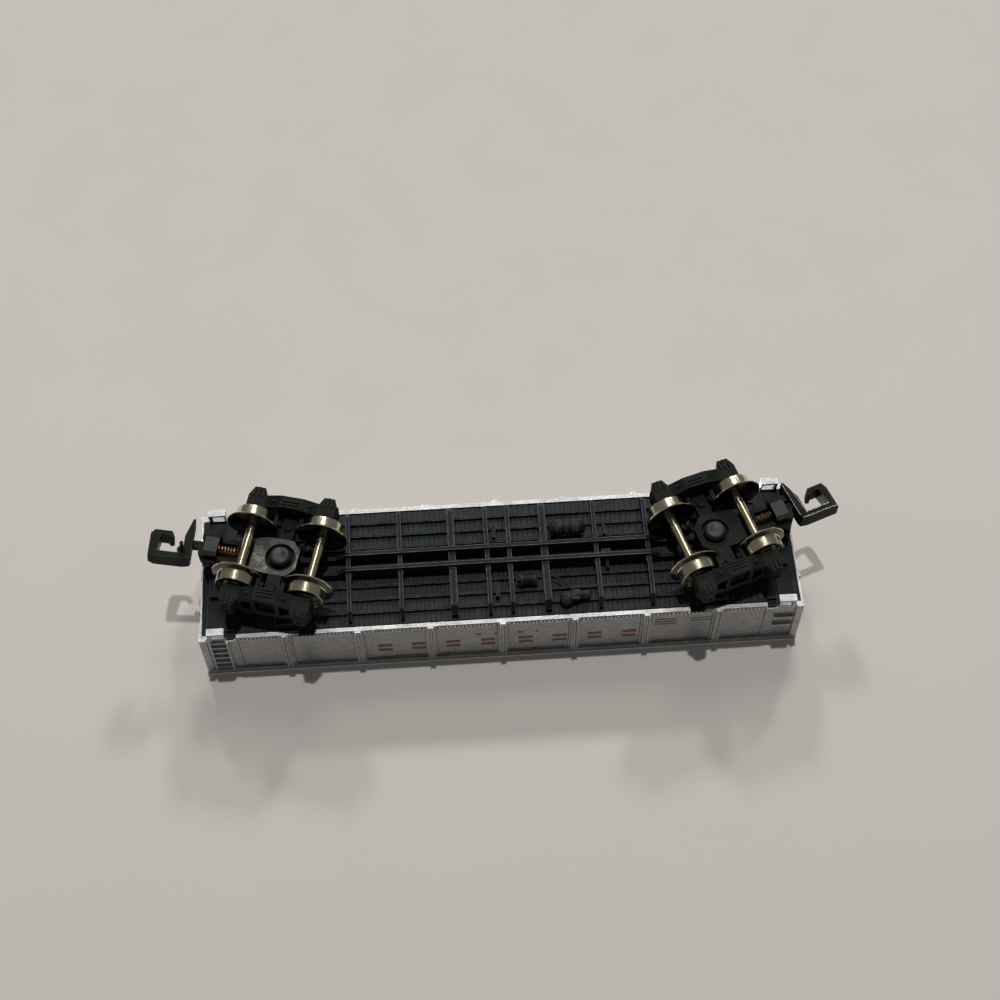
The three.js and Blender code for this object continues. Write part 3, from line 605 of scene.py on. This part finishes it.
def sill_tabs(shape):
    """The row of small tabs along the lower edge of the side."""
    low, half = TAB_MM["low"], TAB_MM["width"] / 2
    for x in tab_row(TAB_MM["from"]):
        box(shape, (x - half, x + half), (-TAB_FACE - 0.10, -TAB_FACE + 0.05), (low, low + TAB_MM["height"]))


def post_lips(shape):
    """A thin raised lip down each edge of every post."""
    face = BODY_MM["post_face"]
    for x in posts_x():
        for hand in (-1, 1):
            edge = x + hand * (BODY_MM["post_width"] / 2 - 0.07)
            box(shape, (edge - 0.08, edge + 0.08), (-face - 0.10, -face + 0.05), POST_RISE)
            outer = x + hand * 0.70
            box(shape, (outer - 0.06, outer + 0.06), (-9.66, -9.5), (BODY_MM["sill"] + 1.0, PANEL_TOP))


def panel_frames(shape):
    """The narrow ledge that runs round the inside of every panel."""
    edges = [-37.2] + posts_x() + [37.2]
    for left, right in zip(edges, edges[1:]):
        x = (left + 1.0, right - 1.0)
        for z in ((PANEL_TOP - 0.32, PANEL_TOP - 0.18), (9.72, 9.84)):
            box(shape, x, (-9.53, BEHIND_WALL), z)


def painted_shade_strips(shape):
    """Painted shade: dark strips between the sill tabs, round the corners of every panel, under the top ledge and
    beside the post lips, where shadow falls.
    """
    for x in tab_row(TAB_MM["from"] + TAB_MM["pitch"] / 2):
        box(shape, (x - 0.10, x + 0.10), (-TAB_FACE - 0.03, -TAB_FACE + 0.05), (9.10, 9.52))
    edges = [-37.3] + posts_x() + [37.3]
    skin = (-9.47, BEHIND_WALL)
    for left, right in zip(edges, edges[1:]):
        near, far = left + 0.78, right - 0.78
        for place in (near, far):
            box(shape, (place - 0.05, place + 0.05), skin, (9.72, PANEL_TOP))
        for z in (9.74, PANEL_TOP - 0.06):
            box(shape, (near, far), skin, (z - 0.05, z + 0.05))
        box(shape, (near + 0.3, far - 0.3), (-9.465, BEHIND_WALL), (PANEL_TOP - 0.44, PANEL_TOP - 0.37))
    face = BODY_MM["post_face"]
    for x in posts_x():
        for hand in (-1, 1):
            edge = x + hand * (BODY_MM["post_width"] / 2 - 0.19)
            box(shape, (edge - 0.04, edge + 0.04), (-face - 0.02, -face + 0.05), POST_RISE)


def floor_lip(shape):
    """The black moulding laps over the inner edge of the end sills."""
    box(shape, (40.55, 41.36), (-9.0, 9.0), (8.63, 8.8))


def end_rivets(shape):
    """Rivets on the end sheets, beside the uprights."""
    head = [(0.0, -0.08), (0.10, -0.07), (0.16, 0.0), (0.16, 0.08), (0.0, 0.08)]
    for y in (-5.4, -4.0, 4.0, 5.4):
        for i in range(9):
            lathe(shape, head, 8, (BODY_MM["half_length"], y, 9.8 + i * 0.98), "X")


def flip_x(maker):
    """Rivet heads point outwards along +X."""
    def make(shape):
        maker(shape)
        for vert in shape.verts:
            vert.co.x = 2 * BODY_MM["half_length"] - vert.co.x
    return make


def floor_boards(shape):
    """Boards across the car between the stringers, each row with its own stagger."""
    rng = random.Random(7)
    f = FLOOR_MM
    lines = f["stringers"]
    rows = [(-lines[0] + f["sill_half"], lines[0] - f["sill_half"])]
    for inner, outer in zip(lines, lines[1:] + (f["edge"] + f["stringer_half"],)):
        start = inner + (f["sill_half"] if inner == lines[0] else f["stringer_half"])
        rows.append((start, outer - f["stringer_half"]))
        rows.append((-outer + f["stringer_half"], -start))
    for low, high in rows:
        x = -f["reach"] - rng.random() * f["pitch"]
        while x < f["reach"]:
            width = f["pitch"] * rng.choice((0.8, 1.0, 1.0, 1.3))
            left = max(x, -f["reach"])
            right = min(x + width - f["gap"], f["reach"])
            if right - left > 0.1:
                drop = f["drop"] + rng.uniform(-0.03, 0.03)
                ends = rng.uniform(0.0, 0.06)
                across = (low + 0.03 + ends, high - 0.03 - ends)
                box(shape, (left, right), across, (f["plate"] - drop, f["plate"] + 0.05))
            x += width


def bearer_caps(shape):
    """Doubling plates along the two heavy bearers, and small gussets at the centre sills."""
    for x in (-6.45, 6.45):
        for low, high in ((-7.3, -1.6), (1.6, 7.3)):
            box(shape, (x - 0.33, x + 0.33), (low, high), (6.72, 6.9))
    for x in (-20.9, -13.7, -6.45, -1.55, 1.55, 6.45, 13.7, 20.9):
        for side in (-1, 1):
            box(shape, (x - 0.42, x + 0.42), (side * 1.75 - 0.28, side * 1.75 + 0.28), (7.2, 7.45))


def painted_edge_highlights(shape):
    """Painted highlight: a thin pale bead along the lower edges of the centre sills and the cross bearers, where
    the edges catch the light.
    """
    for y in (-1.2, 1.2):
        for hand in (-1, 1):
            edge = y + hand * 0.25
            box(shape, (-21.2, 21.2), (edge - 0.045, edge + 0.045), (6.27, 6.38))
    for x, width in ((1.55, 0.55), (6.45, 0.95), (13.7, 0.55), (20.9, 0.55)):
        for end in (-1, 1):
            for hand in (-1, 1):
                edge = end * x + hand * (width / 2 - 0.03)
                for low, high in ((-7.4, -1.5), (-0.9, 0.9), (1.5, 7.4)):
                    box(shape, (edge - 0.04, edge + 0.04), (low, high), (6.77, 6.88))


# Painted highlight along the lit edges of the centre sills and cross bearers.
new_piece("painted_edge_highlights", painted_edge_highlights, EDGE_HIGHLIGHT_BLACK, "black_plastic", "car_body")
new_piece("sill_tabs", both_sides(sill_tabs), SILVER, "silver_paint", "car_body")
new_piece("post_lips", both_sides(post_lips), SILVER, "silver_paint", "car_body")
new_piece("panel_ledges", both_sides(panel_frames), SILVER, "silver_paint", "car_body")
# Painted shade: dark strips where the shadows fall on the sides.
new_piece("painted_panel_shade", both_sides(painted_shade_strips), PAINTED_SHADE, "silver_paint", "car_body")
new_piece("floor_lips", both_sides(floor_lip), BLACK, "black_plastic", "car_body")
new_piece("end_rivets", both_sides(flip_x(end_rivets)), SILVER, "silver_paint", "car_body", smooth_angle=50)
new_piece("floor_boards", floor_boards, BOARD, "black_plastic", "car_body")
new_piece("bearer_caps", bearer_caps, BLACK, "black_plastic", "car_body")

# ---------------------------------------------------------------- plain marks on the sides

MARKS_X = (16.5, 11.8, 7.0, 2.1, -3.2, -7.95, -12.9, -17.75)
MARK_SKIN = (-9.475, BEHIND_WALL)


def red_blocks(shape):
    """A pair of plain bars for each large mark, with no letter in it."""
    for x in MARKS_X:
        for low, high in ((13.75, 14.45), (15.05, 15.75)):
            box(shape, (x - 1.0, x + 1.0), MARK_SKIN, (low, high))
    for low in (11.0, 11.7, 12.4):
        box(shape, (-24.3, -21.2), MARK_SKIN, (low, low + 0.28))


def small_blocks(shape):
    """Small plain bars where the tiny data stands."""
    for x, width in ((3.45, 0.8), (0.8, 0.9), (-2.4, 0.9), (-4.75, 0.4)):
        box(shape, (x - width / 2, x + width / 2), MARK_SKIN, (12.1, 12.5))
    for low in (11.1, 11.8):
        box(shape, (-29.2, -26.2), MARK_SKIN, (low, low + 0.22))


new_piece("red_marks", both_sides(red_blocks), RED, "silver_paint", "car_body")
new_piece("small_marks", both_sides(small_blocks), DARK_MARK, "silver_paint", "car_body")

# ---------------------------------------------------------------- truck pins and brake gear


def pin_profile():
    return [
        (0.0, 3.30), (0.55, 3.28), (0.80, 3.20), (1.12, 3.20), (1.24, 3.26), (1.44, 3.46), (1.50, 3.60),
        (1.50, 4.48), (0.77, 4.5), (0.77, 8.9), (0.5, 9.3), (0.0, 9.3),
    ]


def reservoir(shape):
    x, y, z, radius = (-12.4, -7.3), 3.9, 7.15, 1.15
    profile = [(0.0, x[0]), (0.62, x[0] + 0.03), (0.88, x[0] + 0.22), (0.98, x[0] + 0.5)]
    middle = (x[0] + x[1]) / 2
    for offset in (-1.4, -0.9, 0.0, 0.9, 1.4):
        for step, size in ((-0.15, radius - 0.12), (-0.10, radius), (0.10, radius), (0.15, radius - 0.12)):
            profile.append((size, middle + offset + step))
    profile += [(0.98, x[1] - 0.5), (0.88, x[1] - 0.22), (0.62, x[1] - 0.03), (0.0, x[1])]
    lathe(shape, profile, 40, (0, y, z), "X")
    for place in (x[0] + 0.9, x[1] - 0.9):
        box(shape, (place - 0.14, place + 0.14), (y - 0.95, y + 0.95), (7.6, 8.7))


def cylinder(shape):
    x, y, z, radius = (-5.2, -2.2), -3.9, 7.45, 0.9
    profile = [
        (0.0, x[0]), (0.45, x[0] + 0.02), (0.62, x[0] + 0.2), (radius, x[0] + 0.24), (radius, x[0] + 0.5),
        (radius - 0.12, x[0] + 0.54), (radius - 0.12, x[1] - 0.84), (radius, x[1] - 0.8),
        (radius, x[1] - 0.52),
        (radius - 0.2, x[1] - 0.46), (0.36, x[1] - 0.40), (0.34, x[1] - 0.05), (0.26, x[1]), (0.0, x[1]),
    ]
    lathe(shape, profile, 36, (0, y, z), "X")
    for angle in range(0, 360, 60):
        t = math.radians(angle)
        lathe(shape, [(0.0, -0.07), (0.09, -0.07), (0.09, 0.08), (0.0, 0.08)], 6,
              (x[1] - 0.52, y + 0.74 * math.cos(t), z + 0.74 * math.sin(t)), "X")
    box(shape, (-4.4, -3.2), (y - 0.35, y + 0.35), (8.0, 8.6))


def valve(shape):
    x, y, z = -9.0, -7.05, 6.9
    cap = [(0.0, z), (0.55, z + 0.02), (0.82, z + 0.14), (0.95, z + 0.34), (0.95, 8.2), (0.0, 8.2)]
    lathe(shape, cap, 32, (x, y, 0), "Z")
    lathe(shape, [(0.0, z - 0.08), (0.3, z - 0.08), (0.34, z + 0.1), (0.0, z + 0.1)], 6, (x, y, 0), "Z")
    body = [
        (0.0, -3.4), (0.38, -3.38), (0.55, -3.2), (0.6, -2.9), (0.5, -2.6), (0.6, -2.3), (0.6, -0.9),
        (0.5, -0.2), (0.0, -0.2),
    ]
    lathe(shape, [(radius, x + along) for radius, along in body], 24, (0, y + 0.35, z + 0.55), "X")
    stud = [(0.0, -0.1), (0.26, -0.1), (0.30, 0.0), (0.30, 0.4), (0.0, 0.4)]
    for along in (-3.0, -1.9, -1.2):
        lathe(shape, stud, 10, (x + along, y + 0.35, z + 0.05), "Z")
    verts = box(shape, (x - 1.8, x - 0.7), (y - 0.45, y + 1.05), (z + 0.1, z + 1.0))
    edges = list({e for v in verts for e in v.link_edges})
    bmesh.ops.bevel(shape, geom=edges, offset=0.12, segments=2, affect="EDGES")


def pipe(shape):
    """A smooth curve through the route's points."""
    corners = ((-7.1, -3.5, 7.35), (-8.2, -4.1, 7.35), (-9.1, -4.9, 7.35), (-9.5, -5.6, 7.35))
    route = [Vector(corner) for corner in corners]
    points = []
    padded = [route[0]] + route + [route[-1]]
    for a, b, c, d in zip(padded, padded[1:], padded[2:], padded[3:]):
        square, cube = 2 * a - 5 * b + 4 * c - d, 3 * b - a - 3 * c + d
        for k in range(6):
            t = k / 6
            points.append(0.5 * (2 * b + (c - a) * t + square * t * t + cube * t ** 3))
    points.append(route[-1])
    tube(shape, points, 0.15, 12)


for pin_label in "ab":
    pin_centre = joint_at(f"truck_{pin_label}_swivel").x / MM
    pin_piece = new_piece(
        f"truck_pin_{pin_label}_fine", lambda shape: lathe(shape, pin_profile(), 56, (pin_centre, 0, 0), "Z"),
        GREY, "grey_plastic", "car_body", smooth_angle=32,
    )
    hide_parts(f"truck_pin_{pin_label}")

for gear_node, gear_maker in (
    ("air_reservoir", reservoir), ("brake_cylinder", cylinder),
    ("control_valve", valve), ("brake_pipe", pipe),
):
    gear = new_piece(f"{gear_node}_fine", gear_maker, BLACK, "black_plastic", "car_body", smooth_angle=38)
    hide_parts(gear_node)

# ---------------------------------------------------------------- truck details, in the truck's own frame

TRUCK_MM = {"axle_x": 4.95, "outer": 8.2, "box_low": 2.0, "box_top": 4.7, "box_reach": 9.3}


def truck_details(shape):
    """Ribs on the bearing boxes, spring caps, spring coils, bolts and brake shoes."""
    t = TRUCK_MM
    for side in (-1, 1):
        for end in (-1, 1):
            x = end * t["axle_x"]
            for offset, reach in ((-0.62, 8.9), (0.0, 9.25), (0.62, 8.9)):
                y = sorted((side * (t["outer"] - 0.3), side * reach))
                rib = (x + offset - 0.11, x + offset + 0.11)
                box(shape, rib, y, (t["box_low"] - 0.22, t["box_top"] - 0.1))
            lid = sorted((side * (t["box_reach"] - 0.06), side * (t["box_reach"] + 0.10)))
            box(shape, (x - 0.62, x + 0.62), lid, (t["box_low"] + 0.25, t["box_top"] - 0.35))
            knob = sorted((side * t["box_reach"], side * (t["box_reach"] + 0.2)))
            box(shape, (x - 0.30, x + 0.30), knob, (t["box_top"] - 0.75, t["box_top"] - 0.25))
            shoe = sorted((side * 3.95, side * 5.75))
            face = x - end * 2.95
            box(shape, sorted((face, face - end * 0.5)), shoe, (2.7, 4.3))
            hanger = sorted((face - end * 0.3, face - end * 0.9))
            box(shape, hanger, sorted((side * 4.5, side * 5.2)), (3.2, 4.2))
        for y, half in ((6.45, 1.45), (6.95, 1.30), (7.45, 1.15)):
            edges = sorted((side * (y - 0.12), side * (y + 0.12)))
            box(shape, (-half, half), edges, (1.18, 1.45))
        for x in (-2.6, 2.6):
            bolt = [(0.0, 1.38), (0.20, 1.40), (0.26, 1.52), (0.26, 1.9), (0.0, 1.9)]
            lathe(shape, bolt, 10, (x, side * 7.3, 0), "Z")
        for x in (-0.62, 0.62):
            turns, steps = 6, 12
            points = []
            for k in range(turns * steps + 1):
                angle = 2 * math.pi * k / steps
                points.append((
                    x + 0.52 * math.cos(angle), side * 7.25 + 0.52 * math.sin(angle),
                    2.05 + 2.7 * k / (turns * steps),
                ))
            tube(shape, points, 0.12, 6)


def plate_bolts(shape):
    """Bosses with a raised rim on the arms of the bolster, and a ledge round the centre plate."""
    for y in (-4.7, 4.7):
        lathe(shape, [
            (0.0, 3.58), (0.36, 3.57), (0.42, 3.52), (0.56, 3.52), (0.63, 3.60), (0.63, 3.95), (0.0, 3.95),
        ], 28, (0, y, 0), "Z")
    lathe(shape, [(1.97, 3.80), (2.12, 3.80), (2.18, 3.92), (2.10, 4.2), (1.97, 4.2)], 48, (0, 0, 0), "Z")


PLATE_OUTLINE = (
    (-2.45, -1.48), (-1.28, -2.75), (2.18, -2.75), (3.85, -2.28), (3.85, 2.28), (2.18, 2.75), (-1.28, 2.75),
    (-2.45, 1.48),
)


def plate_skin(shape):
    """The rough cast face of the centre plate, open where the pin's recess is; its pale speckles are partly dust
    and partly painted glints.
    """
    loops = [PLATE_OUTLINE, [
        (2.0 * math.cos(2 * math.pi * k / 48), 2.0 * math.sin(2 * math.pi * k / 48)) for k in range(48)
    ]]
    edges = []
    for loop in loops:
        verts = [shape.verts.new((x, y, 3.86)) for x, y in loop]
        edges += [shape.edges.new((a, b)) for a, b in zip(verts, verts[1:] + verts[:1])]
    filled = bmesh.ops.triangle_fill(shape, use_beauty=True, edges=edges, normal=(0, 0, -1))
    faces = [item for item in filled["geom"] if isinstance(item, bmesh.types.BMFace)]
    raised = bmesh.ops.extrude_face_region(shape, geom=faces)
    verts = [item for item in raised["geom"] if isinstance(item, bmesh.types.BMVert)]
    bmesh.ops.translate(shape, vec=(0, 0, 0.06), verts=verts)


# Only the first truck's plate gets this skin with painted glints, where the highlight falls.
new_piece("plate_skin_a", plate_skin, PLATE_DUST_AND_GLINTS, "truck_plastic", "truck_a", truck_matrix("a"))


def rough_flash(shape):
    """A ragged line of flash along the edges of the second coupler's back plate and arm, painted pale to stand for
    the glints on it.
    """
    rng = random.Random(11)
    height = 1.30
    for start, end in (
        ((1.45, 3.2), (1.45, -2.2)), ((1.6, -2.75), (7.0, -2.85)),
        ((2.4, -2.1), (6.0, -2.1)), ((2.2, 1.6), (2.5, -2.0)),
    ):
        steps = 34
        points = []
        for k in range(steps + 1):
            t = k / steps
            points.append((
                start[0] + (end[0] - start[0]) * t + rng.uniform(-0.05, 0.05),
                start[1] + (end[1] - start[1]) * t + rng.uniform(-0.05, 0.05),
                height + rng.uniform(-0.03, 0.04),
            ))
        tube(shape, points, 0.055, 5)


new_piece("coupler_flash_b", rough_flash, FLASH_WITH_GLINTS, "coupler_plastic", "coupler_b", coupler_matrix("b"), 40)


for truck_label in "ab":
    truck = f"truck_{truck_label}"
    place = truck_matrix(truck_label)
    new_piece(f"truck_details_{truck_label}", truck_details, TRUCK, "truck_plastic", truck, place)
    new_piece(f"plate_bosses_{truck_label}", plate_bolts, TRUCK, "truck_plastic", truck, place, 34)

# ---------------------------------------------------------------- coupler springs


COIL_MM = {"start": 6.2, "z": 4.6, "tail": 1.85}


def coupler_coil(length):
    """A coil along the coupler's shank, from the bolster out to the coupler's tail."""
    def make(shape):
        start, radius, wire, turns, steps = COIL_MM["start"], 0.5, 0.085, 7, 24
        points = []
        for k in range(turns * steps + 1):
            angle = 2 * math.pi * k / steps
            points.append((
                start + length * k / (turns * steps), radius * math.cos(angle),
                COIL_MM["z"] + radius * math.sin(angle),
            ))
        tube(shape, points, wire, 10)
    return make


for truck_label in "ab":
    shank = joint_at(f"coupler_{truck_label}_lift") - truck_matrix(truck_label).translation
    tail_gap = shank.xy.length / MM
    # The second coupler's spring takes the shaded copper copy, a painted shade.
    coil = new_piece(
        f"coupler_spring_{truck_label}_fine", coupler_coil(tail_gap - COIL_MM["tail"] - COIL_MM["start"]),
        COPPER if truck_label == "a" else COPPER_SHADED, "spring_wire",
        f"truck_{truck_label}", truck_matrix(truck_label), 40,
    )
    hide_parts(f"coupler_spring_{truck_label}")

# ---------------------------------------------------------------- rounded edges on the moulded CAD pieces

for rounded_node, rounded_width in (
    ("underframe", 0.05), ("truck_frame_a", 0.08), ("truck_frame_b", 0.08),
    ("coupler_a", 0.14), ("coupler_b", 0.14), ("coupler_cover_a", 0.06), ("coupler_cover_b", 0.06),
):
    soften(NODES[rounded_node], rounded_width)

# ---------------------------------------------------------------- stage

RIM_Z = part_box("body_shell")[1].z
SHEET_GAP = 0.00005
SHEET_HALF = 1.6


def one_sided(name, colour):
    """Plain matt card that shows on its front only, so that it never hides the car from behind; it is painted
    darker towards -Y as a falloff of the light.
    """
    n = Nodes(name)
    grain = n.noise(90, 4.0, 0.5)
    shaded = tuple(0.985 * c for c in colour[:3]) + (1.0,)
    # Painted shade: the card is darker towards -Y, a falloff of the light.
    near = tuple(0.86 * c for c in colour[:3]) + (1.0,)
    coordinates = n.tree.nodes.new("ShaderNodeTexCoord")
    split = n.tree.nodes.new("ShaderNodeSeparateXYZ")
    n.link(coordinates.outputs["Object"], split.inputs[0])
    even = n.mix(n.ramp(grain, 0.3, 0.7), colour, shaded)
    n.put(n.shader.inputs["Base Color"], n.mix(n.ramp(split.outputs["Y"], -0.085, 0.03), near, even))
    n.shader.inputs["Roughness"].default_value = 0.75
    n.shader.inputs["Specular IOR Level"].default_value = 0.2
    clear = n.tree.nodes.new("ShaderNodeBsdfTransparent")
    mixer = n.tree.nodes.new("ShaderNodeMixShader")
    geometry = n.tree.nodes.new("ShaderNodeNewGeometry")
    n.link(geometry.outputs["Backfacing"], mixer.inputs[0])
    n.link(n.shader.outputs[0], mixer.inputs[1])
    n.link(clear.outputs[0], mixer.inputs[2])
    n.link(mixer.outputs[0], n.output.inputs["Surface"])
    return n.material


def stage_sheet(name, z, faces_up, colour, lights_the_car):
    """One card of the stage, with or without a part in the light that reaches the car."""
    half = SHEET_HALF
    corners = [(-half, -half, z), (half, -half, z), (half, half, z), (-half, half, z)]
    if not faces_up:
        corners.reverse()
    mesh = bpy.data.meshes.new(name)
    mesh.from_pydata(corners, [], [(0, 1, 2, 3)])
    mesh.materials.append(one_sided(name, colour))
    sheet = bpy.data.objects.new(name, mesh)
    bpy.context.scene.collection.objects.link(sheet)
    sheet.visible_shadow = False
    sheet.visible_diffuse = lights_the_car
    sheet.visible_glossy = lights_the_car
    return sheet


def sun(name, rays, strength, angle, colour):
    """A sun lamp whose light travels along the rays' direction, with its width in degrees."""
    data = bpy.data.lights.new(name, "SUN")
    data.energy = strength
    data.angle = math.radians(angle)
    data.color = colour
    lamp = bpy.data.objects.new(name, data)
    lamp.rotation_mode = "QUATERNION"
    lamp.rotation_quaternion = Vector(rays).to_track_quat("-Z", "Y")
    bpy.context.scene.collection.objects.link(lamp)


def make_stage():
    """The table stands at the rim, where the overturned car rests; the floor serves the upright views."""
    stage_sheet("table_under_the_rim", RIM_Z + SHEET_GAP, False, rgb(0.735, 0.695, 0.650), True)
    stage_sheet("floor_under_the_wheels", -SHEET_GAP, True, rgb(0.46, 0.445, 0.425), False)
    white = (1.0, 0.985, 0.955)
    sun("key_on_the_underside", (0.0, -0.11, 1.0), 1.06, 1.6, white)
    sun("low_lamp_left", (0.5, -1.28, 1.0), 0.60, 6, white)
    sun("low_lamp_right", (-0.25, -1.28, 1.0), 0.58, 6, white)
    sun("soft_lamp", (0.08, -0.60, 1.0), 0.28, 16, white)
    sun("key_on_the_top", (-0.30, -0.38, -1.0), 2.9, 12, white)
    bpy.context.scene.world = make_room()


def make_room():
    """Soft room light; the wall behind the floor looks paler than the light it gives."""
    world = bpy.data.worlds.new("room")
    world.use_nodes = True
    tree = world.node_tree
    light = tree.nodes["Background"]
    light.inputs["Color"].default_value = (0.95, 0.97, 1.0, 1)
    light.inputs["Strength"].default_value = 0.12
    backdrop = tree.nodes.new("ShaderNodeBackground")
    backdrop.inputs["Color"].default_value = (0.50, 0.49, 0.47, 1)
    mixer = tree.nodes.new("ShaderNodeMixShader")
    path = tree.nodes.new("ShaderNodeLightPath")
    tree.links.new(path.outputs["Is Camera Ray"], mixer.inputs[0])
    tree.links.new(light.outputs[0], mixer.inputs[1])
    tree.links.new(backdrop.outputs[0], mixer.inputs[2])
    tree.links.new(mixer.outputs[0], tree.nodes["World Output"].inputs["Surface"])
    return world


make_stage()
bpy.context.scene.view_settings.view_transform = "Standard"
